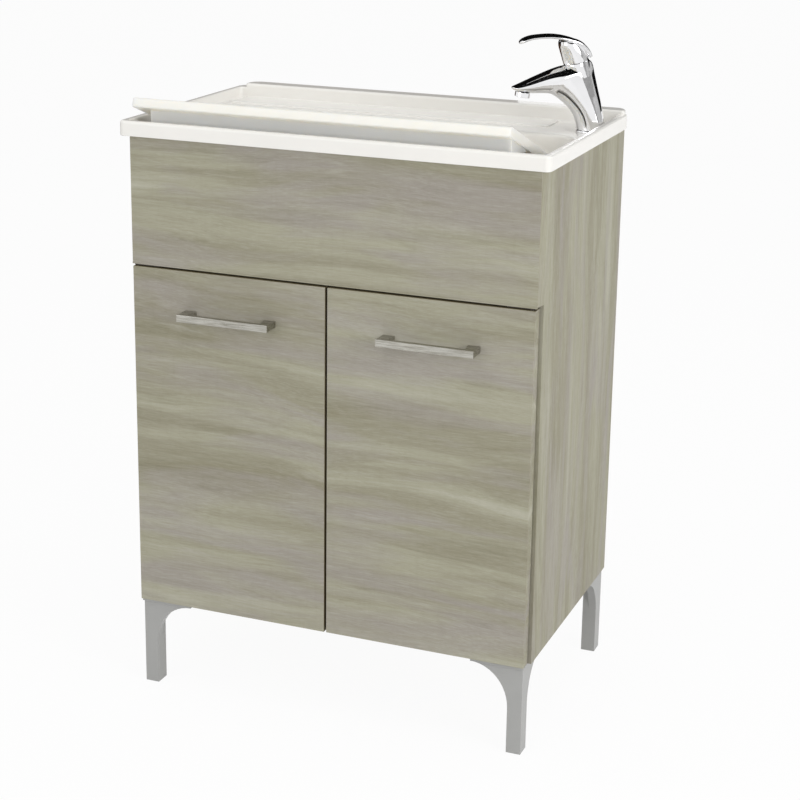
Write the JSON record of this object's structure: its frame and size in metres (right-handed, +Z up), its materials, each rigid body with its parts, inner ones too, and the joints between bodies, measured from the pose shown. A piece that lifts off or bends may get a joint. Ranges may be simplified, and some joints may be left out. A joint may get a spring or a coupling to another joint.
{
  "type": "utility laundry sink",
  "caption": "Two-door laundry cabinet on corner legs with a moulded tub, a slanting washboard, a single-lever mixer and a bottle trap.",
  "frame": {"origin": "on the floor under the legs, at the middle of the overall width and depth", "axes": "+X to the right along the front, +Y from the doors to the back, +Z up"},
  "size_m": [0.62, 0.416, 0.9633],
  "materials": {
    "wood_board": "matt wood-grain foil on board, grey-brown",
    "tub_white": "smooth glossy off-white moulding",
    "satin_metal": "satin grey cast metal",
    "nickel": "brushed satin metal",
    "chrome": "polished",
    "steel": "zinc-plated, dull",
    "dark_steel": "dark brown-grey coated steel",
    "white_plastic": "white moulded plastic",
    "grey_plastic": "grey moulded plastic",
    "black_rubber": "matt black rubber"
  },
  "bodies": {
    "cabinet": {"side_panel_left": "wood_board", "leg_front_left": "satin_metal", "leg_rear_left": "satin_metal", "pivot_plate_lower_left": "satin_metal", "leg_plate_rear_left": "satin_metal", "pivot_plate_upper_left": "dark_steel", "pivot_pin_lower_left": "steel", "pivot_pin_upper_left": "steel", "magnetic_catch_left": "white_plastic", "side_panel_right": "wood_board", "leg_front_right": "satin_metal", "leg_rear_right": "satin_metal", "pivot_plate_lower_right": "satin_metal", "leg_plate_rear_right": "satin_metal", "pivot_plate_upper_right": "dark_steel", "pivot_pin_lower_right": "steel", "pivot_pin_upper_right": "steel", "magnetic_catch_right": "white_plastic", "bottom_panel": "wood_board", "back_panel": "wood_board", "front_panel": "wood_board", "front_rail": "wood_board", "rear_rail": "wood_board", "sink_top": "tub_white", "faucet_body": "chrome", "faucet_base_ring": "chrome", "aerator": "chrome", "drain_flange": "chrome", "cartridge": "white_plastic", "tail_pipe": "white_plastic", "tail_nut": "white_plastic", "trap_body": "white_plastic", "trap_top_nut": "white_plastic", "outlet_pipe": "white_plastic", "trap_outlet_nut": "white_plastic", "cartridge_nut": "steel", "mounting_stud": "steel", "clamp_plate": "steel", "mounting_nut": "steel", "drain_nut": "steel", "drain_gasket": "black_rubber", "trap_cup": "grey_plastic"},
    "door_left": {"door_left": "wood_board", "handle_left": "nickel", "catch_plate_left": "steel", "pivot_bush_lower_left": "white_plastic", "pivot_bush_upper_left": "white_plastic"},
    "door_right": {"door_right": "wood_board", "handle_right": "nickel", "catch_plate_right": "steel", "pivot_bush_lower_right": "white_plastic", "pivot_bush_upper_right": "white_plastic"},
    "washboard": {"washboard": "tub_white"},
    "plug": {"plug": "black_rubber"},
    "lever_swivel": {"lever_seat": "steel", "lever_pin": "steel"},
    "lever": {"lever_handle": "chrome"}
  },
  "joints": [
    {"name": "door_left_hinge", "type": "hinge", "parent": "cabinet", "child": "door_left", "pos_m": [-0.289, -0.171, 0.385], "axis": [0, 0, -1], "range_deg": [0, 105]},
    {"name": "door_right_hinge", "type": "hinge", "parent": "cabinet", "child": "door_right", "pos_m": [0.289, -0.171, 0.385], "axis": [0, 0, 1], "range_deg": [0, 105]},
    {"name": "lever_turn", "type": "hinge", "parent": "cabinet", "child": "lever_swivel", "pos_m": [0.25629, 0.09395, 0.9246], "axis": [-0.1998, -0.1452, 0.969], "range_deg": [-45, 45]},
    {"name": "lever_lift", "type": "hinge", "parent": "lever_swivel", "child": "lever", "pos_m": [0.26351, 0.0992, 0.9341], "axis": [-0.5878, 0.809, 0], "range_deg": [0, 18]},
    {"name": "washboard_lift_out", "type": "slide", "parent": "cabinet", "child": "washboard", "axis": [0, -0.35, 0.9367], "range_m": [0, 0.15]},
    {"name": "plug_lift_out", "type": "slide", "parent": "cabinet", "child": "plug", "axis": [0, 0, 1], "range_m": [0, 0.06]}
  ]
}
